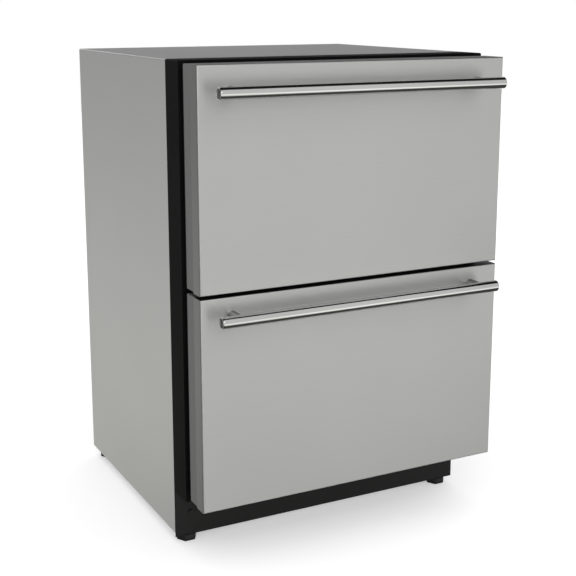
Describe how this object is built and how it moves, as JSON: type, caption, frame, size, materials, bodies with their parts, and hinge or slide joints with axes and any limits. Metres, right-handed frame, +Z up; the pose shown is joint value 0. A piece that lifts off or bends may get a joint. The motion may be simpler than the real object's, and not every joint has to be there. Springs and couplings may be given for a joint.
{
  "type": "undercounter drawer refrigerator",
  "caption": "Undercounter refrigerator with stacked stainless drawers on telescopic slides, bar handles, a black plinth and levelling feet.",
  "frame": {"origin": "on the floor, under the middle of the object's whole width and depth", "axes": "+X to the right seen from the front, -Y out of the drawer fronts, +Z up"},
  "size_m": [0.608, 0.649, 0.876],
  "materials": {
    "wrapper_steel": "satin",
    "front_steel": "brushed",
    "handle_steel": "brushed along the bar",
    "frame_black": "fine texture",
    "seal_rubber": "matte",
    "tray_grey": "satin",
    "foam": "matte",
    "liner_white": "satin",
    "plinth_black": "powder coat",
    "screw_black": "satin",
    "leg_black": "matte",
    "galvanised": "galvanised",
    "slide_steel": "zinc plated",
    "screw_steel": "zinc plated",
    "bin_plastic": "satin",
    "pump_black": "gloss",
    "grommet_rubber": "matte",
    "coil_aluminium": "bare",
    "tube_copper": "bare copper",
    "fan_plastic": "matte",
    "motor_steel": "satin",
    "control_gloss": "gloss",
    "light_diffuser": "opal",
    "box_plastic": "matte",
    "gland_rubber": "matte"
  },
  "bodies": {
    "cabinet": {"cabinet_wrapper": "wrapper_steel", "rear_panel": "galvanised", "rear_grille": "galvanised", "foam_insulation": "foam", "inner_liner": "liner_white", "front_frame": "frame_black", "mullion_rail": "frame_black", "bottom_deck": "galvanised", "base_pan": "galvanised", "kick_plate": "plinth_black", "kick_plate_screws": "screw_black", "compressor": "pump_black", "compressor_grommets": "grommet_rubber", "condenser": "coil_aluminium", "fan_shroud": "fan_plastic", "condenser_fan_motor": "motor_steel", "filter_drier": "tube_copper", "discharge_tube": "tube_copper", "liquid_tube": "tube_copper", "suction_tube": "tube_copper", "drain_pan": "box_plastic", "evaporator": "coil_aluminium", "evaporator_cover": "liner_white", "evaporator_fan_motor": "motor_steel", "drain_trough": "liner_white", "control_panel": "control_gloss", "light_strip": "light_diffuser", "power_box": "box_plastic", "cord_gland": "gland_rubber", "upper_cabinet_slides": "slide_steel", "lower_cabinet_slides": "slide_steel"},
    "upper_drawer": {"upper_drawer_slides": "slide_steel", "upper_front_panel": "front_steel", "upper_front_core": "foam", "upper_front_liner": "tray_grey", "upper_gasket": "seal_rubber", "upper_handle_bar": "handle_steel", "upper_handle_posts": "handle_steel", "upper_handle_screws": "screw_steel", "upper_side_brackets": "galvanised", "upper_bin": "bin_plastic"},
    "upper_slide_middle": {"upper_middle_slides": "slide_steel"},
    "lower_drawer": {"lower_drawer_slides": "slide_steel", "lower_front_panel": "front_steel", "lower_front_core": "foam", "lower_front_liner": "tray_grey", "lower_gasket": "seal_rubber", "lower_handle_bar": "handle_steel", "lower_handle_posts": "handle_steel", "lower_handle_screws": "screw_steel", "lower_side_brackets": "galvanised", "lower_bin": "bin_plastic"},
    "lower_slide_middle": {"lower_middle_slides": "slide_steel"},
    "condenser_fan": {"condenser_fan": "fan_plastic"},
    "evaporator_fan": {"evaporator_fan": "fan_plastic"},
    "leg_front_left": {"leg_front_left": "leg_black"},
    "leg_front_right": {"leg_front_right": "leg_black"},
    "leg_rear_left": {"leg_rear_left": "leg_black"},
    "leg_rear_right": {"leg_rear_right": "leg_black"}
  },
  "joints": [
    {"name": "upper_drawer_slide", "type": "slide", "parent": "cabinet", "child": "upper_drawer", "axis": [0, -1, 0], "range_m": [0, 0.4]},
    {"name": "upper_middle_slide", "type": "slide", "parent": "cabinet", "child": "upper_slide_middle", "axis": [0, -1, 0], "range_m": [0, 0.2]},
    {"name": "lower_drawer_slide", "type": "slide", "parent": "cabinet", "child": "lower_drawer", "axis": [0, -1, 0], "range_m": [0, 0.4]},
    {"name": "lower_middle_slide", "type": "slide", "parent": "cabinet", "child": "lower_slide_middle", "axis": [0, -1, 0], "range_m": [0, 0.2]},
    {"name": "condenser_fan_spin", "type": "hinge", "parent": "cabinet", "child": "condenser_fan", "pos_m": [0.033, 0.2355, 0.1025], "axis": [1, 0, 0], "continuous": true},
    {"name": "evaporator_fan_spin", "type": "hinge", "parent": "cabinet", "child": "evaporator_fan", "pos_m": [0, 0.2455, 0.758], "axis": [0, -1, 0], "continuous": true},
    {"name": "leg_front_left_screw", "type": "slide", "parent": "cabinet", "child": "leg_front_left", "axis": [0, 0, -1], "range_m": [0, 0.025]},
    {"name": "leg_front_right_screw", "type": "slide", "parent": "cabinet", "child": "leg_front_right", "axis": [0, 0, -1], "range_m": [0, 0.025]},
    {"name": "leg_rear_left_screw", "type": "slide", "parent": "cabinet", "child": "leg_rear_left", "axis": [0, 0, -1], "range_m": [0, 0.025]},
    {"name": "leg_rear_right_screw", "type": "slide", "parent": "cabinet", "child": "leg_rear_right", "axis": [0, 0, -1], "range_m": [0, 0.025]}
  ],
  "couplings": [
    {"joint": "upper_middle_slide", "follows": "upper_drawer_slide", "ratio": 0.5},
    {"joint": "lower_middle_slide", "follows": "lower_drawer_slide", "ratio": 0.5}
  ]
}
